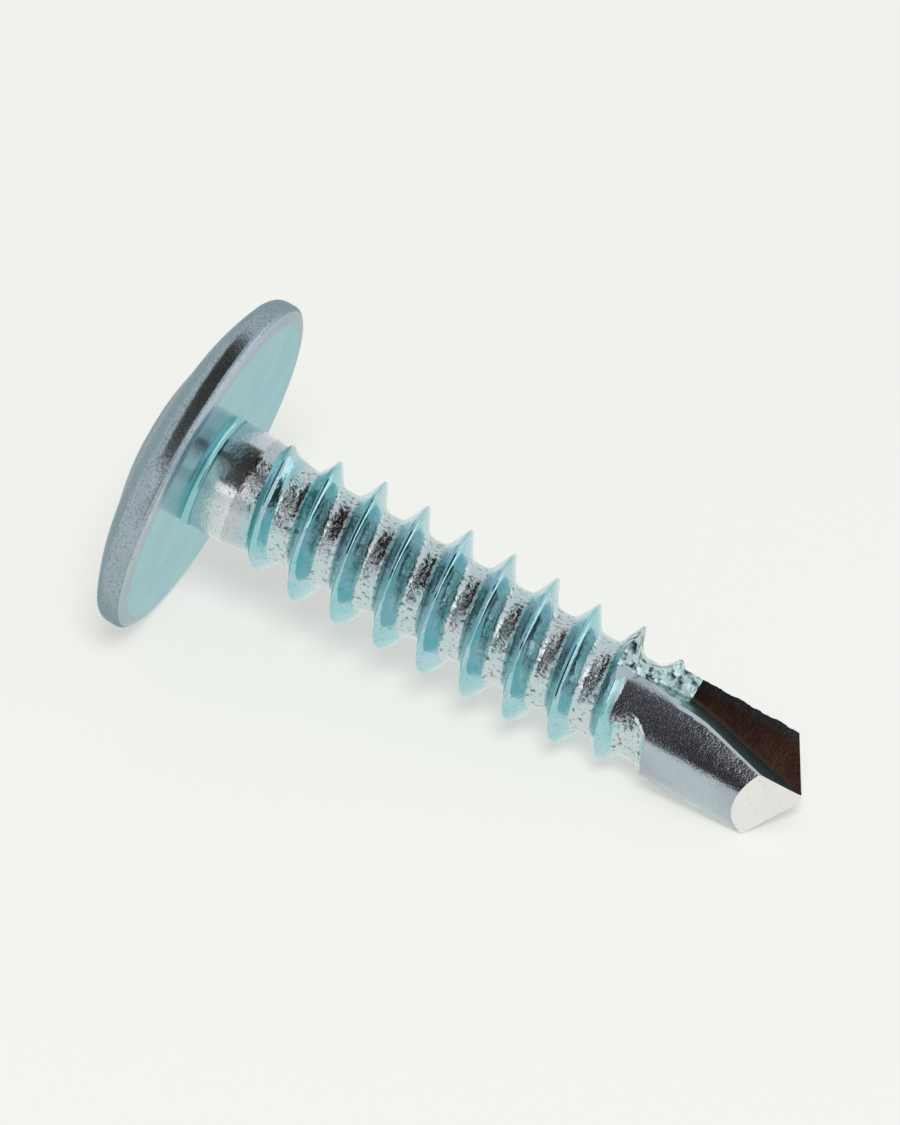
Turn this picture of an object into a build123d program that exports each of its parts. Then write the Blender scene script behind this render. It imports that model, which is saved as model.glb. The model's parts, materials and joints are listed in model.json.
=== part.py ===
"""Self-drilling screw with a low wafer head, one cold-forged piece of zinc-plated steel.

The screw is modelled upright in its own construction frame.  Its axis is Z, the bearing
plane under the head is Z = 0, the dome of the head is at negative Z and the drill point
at positive Z.  Angles round the axis are counted from +X towards +Y.

Last of all it is laid down as it comes to rest on a flat surface: on the rim of its head
and on the two corners of one flute, with the tip towards +X and the surface at Z = 0.
"""
from build123d import *
from math import asin, atan, atan2, ceil, cos, degrees, hypot, radians, sin, sqrt, tan
import os

# ---- Driving dimensions, in millimetres and degrees --------------------------------------

screw_length = 19.05            # bearing plane to the chisel edge of the drill point

# Wafer head
head_diameter = 10.3
head_height = 2.0               # bearing plane to the top of the dome
rim_height = 0.50               # bearing plane to the widest circle of the rim
rim_under_radius = 0.26         # rounding of the rim towards the bearing plane
rim_top_radius = 0.40           # rounding of the rim towards the flange
rim_top_turn = 65.0             # angle that this rounding runs through
dome_diameter = 6.2             # foot of the low dome in the middle of the head
dome_rise = 0.55                # dome above its foot
flange_camber = 0.08            # bulge of the flange between the dome and the rim

# Cross recess, size 2
recess_depth = 2.1              # top of the dome to the foot of the wings
recess_foot_diameter = 2.3      # across the wings at their foot
recess_wing_angle = 26.5        # slope of the wing ends against the axis
recess_wing_width = 0.95        # thickness of a wing at the mouth
recess_wing_draft = 4.0         # draft of the wing sides
recess_core_width = 1.75        # square core that blunts the corners between the wings
recess_floor_angle = 28.0       # slope of the pointed floor

# Neck
neck_diameter = 3.32
neck_length = 1.2               # plain neck before the thread rises out of it
neck_fillet = 0.30              # under the head
neck_run_out = 1.75             # length over which the neck sinks to the thread root

# Thread, right-handed, ST 4.2
major_diameter = 4.2
root_diameter = 2.72
thread_pitch = 1.4
thread_angle = 52.0             # included angle of the flanks
thread_crest_width = 0.08
thread_root_fillet = 0.33
thread_flare_angle = 12.0       # the fillet's tangent against the axis where the core begins
thread_phase = 0.567            # height at which a crest crosses the +X side
thread_rise_from = 0.9          # the first crests rise from inside the neck, from here
thread_full_from = 3.8          # ... and reach the major diameter here
thread_full_to = 10.6           # the last crests begin to fall here
thread_fade_to = 14.2           # ... and have fallen to the drill body here
thread_fade_share = 0.3         # share of that fall that lies in its first half

# Drill body
drill_diameter = 3.22
shoulder_height = 14.6          # where the drill body comes out of the thread
shoulder_skew = 0.15            # rise of that shoulder from the axis to the +Y side
land_pad_height = 13.1          # one land reaches back to the last crest
land_pad_from = -28.0           # angles between which it does so
land_pad_to = 26.0

# Drill point
point_angle = 97.5              # between the two end facets
facet_direction = 45.0          # angle round the axis in which the first facet falls away
half_web = 0.12                 # cutting face to the plane through the axis

# First flute: its valley runs beside the cutting face, and its other wall rises from
# the valley to the edge of the land.  Both are given by their distance behind the axis.
flute_exit_height = 12.6        # the flute leaves the surface here
flute_full_height = 15.0        # the cutting face begins here
flute_bend_height = 15.8        # from here the flute closes in on the axis
exit_gap = 0.09                 # the tool clears the drill body by this at the exit
exit_edge = 0.48                # edge of the land at the exit
full_edge = 0.42                # ... where the cutting face begins
full_valley = 0.98
bend_edge = 0.40                # ... at the bend
bend_valley = 0.86
tip_edge = -0.45                # ... at the tip, past the axis
tip_valley = 0.10
valley_radius = 0.16            # rounding of the valley

# How the model is made
sunk = 0.03                     # how deep a joining edge is sunk into its neighbour
buried_depth = 0.12             # ... and a hidden face of a turn of the thread into the core
past = 0.6                      # how far a cutting tool reaches past what it cuts
bands = 3                       # straight bands that make up a turned rounding
resting_rounds = 4              # passes in which the corners and the incline at rest settle

# ---- Values that follow -------------------------------------------------------------------

head_radius = head_diameter / 2
neck_radius = neck_diameter / 2
major_radius = major_diameter / 2
root_radius = root_diameter / 2
drill_radius = drill_diameter / 2
flank_angle = radians(thread_angle / 2)
facet_fall = 1 / tan(radians(point_angle / 2))  # drop of a facet for each mm off the axis


def revolved(*lines):
    """Turns a closed outline, drawn as (radius, height), about the axis."""
    edges = [edge for line in lines for edge in line.edges()]
    return revolve(make_face(Plane.XZ * Wire(edges)), Axis.Z)


def rounding(centre, radius, first, last):
    """Corners of the chords that stand for an arc, and that turn into conical bands."""
    turns = [radians(first + (last - first) * band / bands) for band in range(bands + 1)]
    return [(centre[0] + radius * cos(t), centre[1] + radius * sin(t)) for t in turns]


def on_sagitta(start, end, sagitta):
    """Middle point of an arc that bulges by the sagitta to the left of start -> end."""
    chord = hypot(end[0] - start[0], end[1] - start[1])
    across = ((start[1] - end[1]) / chord, (end[0] - start[0]) / chord)
    return (
        (start[0] + end[0]) / 2 + sagitta * across[0],
        (start[1] + end[1]) / 2 + sagitta * across[1],
    )


# ---- Head and neck --------------------------------------------------------------------------

def head_and_neck():
    """Wafer head, fillet and neck, down to where the neck has sunk into the core."""
    rim_low = rounding(
        (head_radius - rim_under_radius, -rim_under_radius), rim_under_radius, 90, 0
    )
    rim_top = rounding(
        (head_radius - rim_top_radius, -rim_height), rim_top_radius, 0, -rim_top_turn
    )
    under_head = rounding((neck_radius + neck_fillet, neck_fillet), neck_fillet, 180, 270)
    dome_foot = (dome_diameter / 2, dome_rise - head_height)
    dome_top = (0, -head_height)
    dome_ball = ((dome_diameter / 2) ** 2 + dome_rise**2) / (2 * dome_rise)
    dome_middle = (
        dome_diameter / 4,
        dome_ball - head_height - sqrt(dome_ball**2 - (dome_diameter / 4) ** 2),
    )
    flange_middle = on_sagitta(rim_top[-1], dome_foot, flange_camber)
    sunk_end = (root_radius - sunk, neck_length + neck_run_out)
    foot_of_axis = (0, sunk_end[1])
    return revolved(
        Line(foot_of_axis, sunk_end),
        Line(sunk_end, (neck_radius, neck_length)),
        Line((neck_radius, neck_length), under_head[0]),
        Polyline(*under_head),
        Line(under_head[-1], rim_low[0]),
        Polyline(*rim_low),
        Line(rim_low[-1], rim_top[0]),
        Polyline(*rim_top, flange_middle, dome_foot),
        ThreePointArc(dome_foot, dome_middle, dome_top),
        Line(dome_top, foot_of_axis),
    )


def cross_recess():
    """The four-winged driving recess, as the punch that is sunk into the head."""
    mouth = -head_height - past
    floor = recess_depth - head_height
    foot_radius = recess_foot_diameter / 2
    mouth_radius = foot_radius + (floor - mouth) * tan(radians(recess_wing_angle))
    point = floor + foot_radius * tan(radians(recess_floor_angle))
    cone = revolved(
        Line((0, mouth), (mouth_radius, mouth)),
        Line((mouth_radius, mouth), (foot_radius, floor)),
        Line((foot_radius, floor), (0, point)),
        Line((0, point), (0, mouth)),
    )
    draft = 2 * past * tan(radians(recess_wing_draft))
    wing = recess_wing_width + draft
    core = recess_core_width + draft
    span = 2 * (mouth_radius + past)
    cross = Rectangle(span, wing) + Rectangle(wing, span) + Rot(Z=45) * Rectangle(core, core)
    wings = extrude(Pos(Z=mouth) * cross, point + past - mouth, taper=recess_wing_draft)
    return cone & wings


# ---- Thread ---------------------------------------------------------------------------------

def thread_turn():
    """One turn of the thread round the core, its crest starting over +X at height 0."""
    half_crest = thread_crest_width / 2
    half_foot = half_crest + (major_radius - root_radius) * tan(flank_angle)
    flare_end = radians(thread_flare_angle)

    # The root fillet is as large as the gap between two turns allows, and is made as one
    # straight flare from the flank to where it dips into the core.
    room = thread_pitch / 2 - sunk - half_foot - sunk * tan(flank_angle)
    spread = (1 - sin(flank_angle)) / cos(flank_angle) - sin(flare_end)
    fillet_radius = min(thread_root_fillet, room / spread)

    centre_radius = root_radius + fillet_radius - sunk
    centre_offset = half_foot + (
        fillet_radius - (fillet_radius - sunk) * sin(flank_angle)
    ) / cos(flank_angle)
    flank_end = radians(90) - flank_angle

    def fillet_point(turn, side):
        """Point of the root fillet on one side of the crest."""
        return (
            centre_radius - fillet_radius * cos(turn),
            side * (centre_offset - fillet_radius * sin(turn)),
        )

    inside = root_radius - buried_depth
    corners = []
    for side in (1, -1):
        half = [
            (major_radius, side * half_crest),
            fillet_point(flank_end, side),
            fillet_point(flare_end, side),
        ]
        half.append((inside, half[-1][1]))
        corners += half if side > 0 else reversed(half)
    section = make_face(Plane.XZ * Polyline(*corners, close=True))
    return sweep(section, path=Helix(thread_pitch, thread_pitch, root_radius), is_frenet=True)


def crest_run_in():
    """Ring that trims the first crests, which rise out of the neck along a cone."""
    low = (neck_radius - 2 * sunk, thread_rise_from)
    high = (major_radius, thread_full_from)
    slope = (high[0] - low[0]) / (high[1] - low[1])
    start = (low[0] - slope * (low[1] + past), -past)
    end = (high[0] + slope * sunk, high[1] + sunk)
    outside = major_radius + past
    return revolved(
        Line(start, end),
        Line(end, (outside, end[1])),
        Line((outside, end[1]), (outside, start[1])),
        Line((outside, start[1]), start),
    )


def crest_fade():
    """Ring that trims the last crests, which fall to the drill body in two steps."""
    middle_height = (thread_full_to + thread_fade_to) / 2
    start = (major_radius + sunk, thread_full_to)
    fallen = thread_fade_share * (major_radius - drill_radius)
    middle = (major_radius - fallen, middle_height)
    low = (drill_radius + sunk, thread_fade_to)
    buried = (root_radius + buried_depth, shoulder_height + shoulder_skew)
    end = (buried[0], screw_length)
    outside = major_radius + past
    return revolved(
        Line(start, middle),
        Line(middle, low),
        Line(low, buried),
        Line(buried, end),
        Line(end, (outside, end[1])),
        Line((outside, end[1]), (outside, start[1])),
        Line((outside, start[1]), start),
    )


def threaded_core():
    """Core and thread, from inside the neck into the drill body, trimmed at both ends."""
    buried_end = shoulder_height + shoulder_skew + past
    turn_count = ceil((buried_end - thread_phase) / thread_pitch)
    turn = thread_turn()
    run_in = crest_run_in()
    fade = crest_fade()
    turns = []
    for number in range(turn_count):
        start = thread_phase + number * thread_pitch
        placed = Pos(Z=start) * turn
        if start - thread_pitch / 2 < thread_full_from:
            placed -= run_in
        if start + thread_pitch * 3 / 2 > thread_full_to:
            placed -= fade
        turns.append(placed)
    core_start = thread_phase - thread_pitch
    core = Pos(Z=core_start) * Cylinder(
        root_radius,
        (turn_count + 2) * thread_pitch,
        align=(Align.CENTER, Align.CENTER, Align.MIN),
    )
    return core + turns


# ---- Drill point ----------------------------------------------------------------------------

def drill_body():
    """Plain body of the drill, with its slanted shoulder and the land that reaches back."""
    body = Pos(Z=land_pad_height) * Cylinder(
        drill_radius,
        screw_length + past - land_pad_height,
        align=(Align.CENTER, Align.CENTER, Align.MIN),
    )
    reach = 2 * major_diameter
    slant = degrees(atan(shoulder_skew / drill_radius))
    behind_shoulder = (
        Pos(Z=shoulder_height)
        * Rot(X=slant)
        * Box(reach, reach, reach, align=(Align.CENTER, Align.CENTER, Align.MAX))
    )
    turns = [land_pad_from, (land_pad_from + land_pad_to) / 2, land_pad_to]
    rays = [(reach * cos(radians(t)), reach * sin(radians(t))) for t in turns]
    pad_sector = extrude(
        Pos(Z=land_pad_height - reach) * make_face(Polyline((0, 0), *rays, close=True)),
        2 * reach,
    )
    return body - (behind_shoulder - pad_sector)


def flute_at(height):
    """Distances of the valley and of the land's edge behind the axis, past the bend."""
    share = (height - flute_bend_height) / (screw_length - flute_bend_height)
    return (
        bend_valley + share * (tip_valley - bend_valley),
        bend_edge + share * (tip_edge - bend_edge),
    )


def flute_section(height, face_offset, valley, edge):
    """Section of a flute tool: the cutting face, the rounded valley and the far wall."""
    far = 2 * drill_diameter
    corner = (face_offset, -valley)
    slope = (valley - edge) / (drill_radius - half_web)
    wall_end = (far, -valley + slope * (far - face_offset))
    outline = make_face(Polyline(corner, (face_offset, -far), (far, -far), wall_end, close=True))
    valley_vertex = outline.vertices().sort_by_distance(corner)[0]
    return Pos(Z=height) * fillet(valley_vertex, valley_radius)


def flute():
    """Tool of the first flute, from its exit in the thread to past the tip."""
    end = screw_length + past
    tip_section = flute_at(end)
    sections = [
        flute_section(flute_exit_height, drill_radius + exit_gap, exit_edge, exit_edge),
        flute_section(flute_full_height, half_web, full_valley, full_edge),
        flute_section(flute_bend_height, half_web, bend_valley, bend_edge),
        flute_section(end, half_web, *tip_section),
    ]
    return loft(sections, ruled=True)


def point_block():
    """Block above the two end facets, which meet in the chisel edge."""
    reach = 2 * drill_diameter
    drop = facet_fall * reach
    roof = make_face(
        Plane.XZ
        * Polyline(
            (0, screw_length),
            (reach, screw_length - drop),
            (reach, screw_length + reach),
            (-reach, screw_length + reach),
            (-reach, screw_length - drop),
            close=True,
        )
    )
    return Rot(Z=facet_direction) * extrude(roof, reach, both=True)


# ---- The whole screw and how it lies ----------------------------------------------------------

def screw():
    """The finished screw, upright in its construction frame."""
    solid = threaded_core() + head_and_neck() + drill_body()
    solid -= cross_recess()
    solid -= flute()
    solid -= Rot(Z=180) * flute()
    return solid - point_block()


def resting_angles():
    """Angle round the axis that faces down, and the incline of the axis, at rest.

    The screw rests on the rim of its head and on the two corners where the second
    flute meets the end facets: the tip of a cutting lip and the heel of the other land.
    """
    def corner_height(turn):
        return screw_length - facet_fall * drill_radius * abs(
            cos(radians(turn - facet_direction))
        )

    lip_turn = 90 + degrees(asin(half_web / drill_radius))
    heel_turn = 180
    for _ in range(resting_rounds):
        edge = flute_at(corner_height(heel_turn))[1]
        heel_turn = 180 - degrees(asin(edge / drill_radius))
    half_opening = radians(heel_turn - lip_turn) / 2
    lip_height = corner_height(lip_turn)
    heel_height = corner_height(heel_turn)
    rim_centre = head_radius - rim_under_radius
    lean = 0.0
    for _ in range(resting_rounds):
        run = lip_height + rim_under_radius
        fall = rim_centre - drill_radius * cos(half_opening + lean)
        incline = atan2(fall, run) + asin(rim_under_radius / hypot(fall, run))
        lean = asin(
            (lip_height - heel_height) * tan(incline) / (2 * drill_radius * sin(half_opening))
        )
    return (lip_turn + heel_turn) / 2 + degrees(lean), degrees(incline)


def resting_place(solid):
    """Location that lays the upright screw down, centred over the origin."""
    down_turn, incline = resting_angles()
    turned = Rot(Y=90 + incline) * Rot(Z=-down_turn)
    box = (turned * solid).bounding_box()
    rim_low = (
        rim_under_radius * sin(radians(incline))
        - (head_radius - rim_under_radius) * cos(radians(incline))
        - rim_under_radius
    )
    return Pos(-box.center().X, -box.center().Y, -rim_low) * turned


if __name__ == "__main__":
    os.makedirs("parts", exist_ok=True)
    upright = screw()
    export_step(resting_place(upright) * upright, "parts/screw.step")
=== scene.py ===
"""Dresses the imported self-drilling screw: its fine surface, its finishes, light and camera.

Sizes are in millimetres, in the screw's own axes.  Z runs from the bearing plane under the
head (Z = 0) to the drill point, and angles round it are counted from +X towards +Y.
"""

import json
import logging
from dataclasses import dataclass, field
from enum import Enum
from math import atan, atan2, cos, degrees, hypot, pi, radians, sin, sqrt, tan
from typing import Callable, Iterable, Sequence

import bmesh
import bpy
from mathutils import Matrix, Vector, noise

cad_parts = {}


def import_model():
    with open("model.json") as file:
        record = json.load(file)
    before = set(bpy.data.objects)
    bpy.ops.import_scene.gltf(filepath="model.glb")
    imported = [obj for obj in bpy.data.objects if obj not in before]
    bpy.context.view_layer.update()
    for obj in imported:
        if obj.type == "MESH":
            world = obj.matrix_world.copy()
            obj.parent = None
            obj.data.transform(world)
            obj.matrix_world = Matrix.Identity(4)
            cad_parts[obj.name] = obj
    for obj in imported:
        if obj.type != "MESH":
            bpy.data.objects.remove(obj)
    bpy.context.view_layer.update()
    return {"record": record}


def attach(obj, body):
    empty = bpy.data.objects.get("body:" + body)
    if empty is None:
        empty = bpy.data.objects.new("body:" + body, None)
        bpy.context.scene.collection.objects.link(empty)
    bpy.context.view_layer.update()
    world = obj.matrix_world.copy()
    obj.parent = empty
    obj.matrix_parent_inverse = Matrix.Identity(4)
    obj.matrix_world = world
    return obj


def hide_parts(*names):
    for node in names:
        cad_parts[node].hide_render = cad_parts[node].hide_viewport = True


LOG = logging.getLogger("self_drilling_screw")
MM = 0.001
PAPER = "F2F3EE"                    # the floor's warm white
CUT_DIGITS = 6                      # decimals of a millimetre kept where a skin is cut off


class Finish(Enum):
    """Material index of each finish on the screw."""

    FORGED = 0                      # dome, flange and rim of the head
    BEARING = 1                     # underside of the head
    ROLLED = 2                      # flanks and crests of the thread
    PINCHED = 3                     # land of the drill body
    TORN = 4                        # run-out of thread and flutes
    SHEARED = 5                     # cutting face of a flute
    WALL = 6                        # far wall of a flute
    EDGE = 7                        # roundings of rim and land
    FACET = 8                       # end facets of the point
    ROOT = 9                        # root of the thread
    NECK = 10                       # plain neck under the head


class Cut(Enum):
    """What a boolean leaves of the object that it is applied to."""

    OUTSIDE = "DIFFERENCE"          # what lies outside the tool
    INSIDE = "INTERSECT"            # what lies inside it


# ---- Small tools --------------------------------------------------------------------------

def linear(colour: str, alpha: float = 1.0) -> tuple[float, float, float, float]:
    """Turns an sRGB hex colour into linear red, green, blue and alpha.

    Args:
        colour: Hex digits such as "8FB4B9".
        alpha: Opacity of the result.

    Returns:
        The linear colour that Blender's sockets take.
    """
    parts = [int(colour[place:place + 2], 16) / 255 for place in (0, 2, 4)]
    return (*(p / 12.92 if p <= 0.04045 else ((p + 0.055) / 1.055) ** 2.4 for p in parts), alpha)


def smooth_step(value: float, start: float, end: float) -> float:
    """Returns 0 before start and 1 after end, with a soft rise between them."""
    share = min(max((value - start) / (end - start), 0.0), 1.0)
    return share * share * (3 - 2 * share)


def soft_min(first: float, second: float, reach: float) -> float:
    """Returns the smaller value, rounded off where the two are within reach."""
    mix = max(reach - abs(first - second), 0.0) / reach
    return min(first, second) - mix * mix * reach / 4


def soft_max(first: float, second: float, reach: float) -> float:
    """Returns the larger value, rounded off where the two are within reach."""
    return -soft_min(-first, -second, reach)


def radius_of(place: Vector) -> float:
    """Returns a point's distance from the screw's axis."""
    return hypot(place.x, place.y)


def turn_of(place: Vector) -> float:
    """Returns a point's angle round the screw's axis, in degrees."""
    return degrees(atan2(place.y, place.x))


def rough(place: Vector, size: float, fine: float) -> float:
    """Returns a noise whose features are size apart, with finer ones fine times as strong."""
    return noise.noise(place / size) + fine * noise.noise(place / (0.4 * size))


def arc(centre: tuple[float, float], radius: float, first: float, last: float,
        steps: int) -> list[tuple[float, float]]:
    """Lists points along an arc.

    Args:
        centre: Middle of the arc, as (radius, height).
        radius: Radius of the arc.
        first: Angle of its first point, in degrees.
        last: Angle of its last point, in degrees.
        steps: Number of chords.

    Returns:
        The points, both ends included.
    """
    turns = [radians(first + (last - first) * step / steps) for step in range(steps + 1)]
    return [(centre[0] + radius * cos(t), centre[1] + radius * sin(t)) for t in turns]


def half_section(bm: bmesh.types.BMesh, outline: Iterable[tuple[float, float]]
                 ) -> list[bmesh.types.BMVert | bmesh.types.BMEdge]:
    """Returns the new corners and edges along an outline of (radius, height)."""
    verts = [bm.verts.new((radius, 0, height)) for radius, height in outline]
    return [*verts, *(bm.edges.new(pair) for pair in zip(verts, verts[1:]))]


def closed_loop(bm: bmesh.types.BMesh,
                places: Iterable[Sequence[float]]) -> list[bmesh.types.BMEdge]:
    """Returns the edges of a closed loop through new corners at the given places."""
    verts = [bm.verts.new(place) for place in places]
    return [bm.edges.new(pair) for pair in zip(verts, [*verts[1:], verts[0]])]


def move_out(vert: bmesh.types.BMVert, wanted: float) -> None:
    """Moves a corner straight out from the axis, or in, to the wanted distance.

    Args:
        vert: Corner to move.
        wanted: Its new distance from the axis.
    """
    share = wanted / radius_of(vert.co)
    vert.co.x *= share
    vert.co.y *= share


def dress_face(face: bmesh.types.BMFace, finish: Finish) -> None:
    """Gives a face its finish and smooth shading."""
    face.material_index = finish.value
    face.smooth = True


def open_ring(bm: bmesh.types.BMesh) -> list[bmesh.types.BMEdge]:
    """Returns the edges round the mesh's open rim."""
    return [edge for edge in bm.edges if edge.is_boundary]


def grow_ring(bm: bmesh.types.BMesh, ring: Sequence[bmesh.types.BMEdge],
              finish: Finish) -> list[bmesh.types.BMEdge]:
    """Extrudes a ring of edges in place.

    Args:
        bm: Mesh that the ring belongs to.
        ring: Edges of the open rim.
        finish: Finish of the new faces.

    Returns:
        The edges of the new rim.
    """
    made = bmesh.ops.extrude_edge_only(bm, edges=ring)["geom"]
    for item in made:
        if isinstance(item, bmesh.types.BMFace):
            dress_face(item, finish)
    return [item for item in made if isinstance(item, bmesh.types.BMEdge) and item.is_boundary]


def ring_verts(ring: Iterable[bmesh.types.BMEdge]) -> list[bmesh.types.BMVert]:
    """Returns the corners of a ring of edges, each once, in a fixed order."""
    return list(dict.fromkeys(vert for edge in ring for vert in edge.verts))


def ring_height(ring: Iterable[bmesh.types.BMEdge]) -> float:
    """Returns the height of a level ring of edges."""
    return min(vert.co.z for vert in ring_verts(ring))


def settle_order(bm: bmesh.types.BMesh) -> None:
    """Lists a mesh's edges and faces in the order of their corners.

    Spin and extrude list them in another order on each run, and a boolean then divides some
    faces another way.

    Args:
        bm: Mesh to put in order.
    """
    bm.verts.index_update()
    for items in (bm.edges, bm.faces):
        in_order = sorted(items, key=lambda item: sorted(vert.index for vert in item.verts))
        ranks = {item: rank for rank, item in enumerate(in_order)}
        items.sort(key=ranks.get)
        items.index_update()


def new_object(bm: bmesh.types.BMesh, name: str) -> bpy.types.Object:
    """Turns a finished bmesh into a linked object and frees it.

    Args:
        bm: Mesh to turn into an object.
        name: Name of the object and of its mesh.

    Returns:
        The object, at the origin.
    """
    settle_order(bm)
    mesh = bpy.data.meshes.new(name)
    bm.to_mesh(mesh)
    bm.free()
    made = bpy.data.objects.new(name, mesh)
    bpy.context.scene.collection.objects.link(made)
    return made


def combine(target: bpy.types.Object, tool: bpy.types.Object, cut: Cut) -> None:
    """Applies a boolean to the target for good and removes the tool.

    Args:
        target: Object that keeps the result.
        tool: Object that cuts it.
        cut: What the target keeps.
    """
    step = target.modifiers.new("cut", "BOOLEAN")
    step.operation = cut.value
    step.solver = "EXACT"
    step.material_mode = "INDEX"
    step.object = tool
    graph = bpy.context.evaluated_depsgraph_get()
    mesh = bpy.data.meshes.new_from_object(target.evaluated_get(graph))
    target.modifiers.clear()
    target.data = mesh
    bpy.data.objects.remove(tool)


# ---- Where the screw lies -------------------------------------------------------------------

@dataclass(frozen=True)
class Placement:
    """Turns the screw's own axes into the row frame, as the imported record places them."""

    origin: Vector                  # middle of the bearing plane, in metres
    along: Vector                   # way from the head to the drill point
    down_turn: float = 141.003      # angle round the axis that faces the floor

    @classmethod
    def from_record(cls, record: dict, head_height: float) -> "Placement":
        """Reads the axis from the bearing face and the head's top from the recess.

        Args:
            record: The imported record.
            head_height: Bearing plane to the top of the dome.

        Returns:
            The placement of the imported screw.
        """
        mounts = {mount["name"]: mount for mount in record["mounts"]}
        along = Vector(mounts["bearing_face"]["axis"]).normalized()
        top = Vector(mounts["drive_recess"]["pos_m"])
        return cls(origin=top + along * head_height * MM, along=along)

    def turned(self) -> Matrix:
        """Works out how the screw is turned.

        Returns:
            The rotation from the screw's axes to the row frame.
        """
        down = Vector((0, 0, -1))
        down = (down - self.along * down.dot(self.along)).normalized()
        side = Matrix.Rotation(radians(-self.down_turn), 3, self.along) @ down
        return Matrix((side, self.along.cross(side), self.along)).transposed()

    def matrix(self) -> Matrix:
        """Returns the matrix from millimetres in the screw's axes to the row frame."""
        scaled = self.turned().to_4x4() @ Matrix.Scale(MM, 4)
        return Matrix.Translation(self.origin) @ scaled

    def point(self, place: Sequence[float]) -> Vector:
        """Returns a point of the screw's axes in the row frame."""
        return self.matrix() @ Vector(place)

    def direction(self, way: Sequence[float]) -> Vector:
        """Returns a direction of the screw's axes in the row frame."""
        return self.turned() @ Vector(way)


# ---- Thread and neck ------------------------------------------------------------------------

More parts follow.
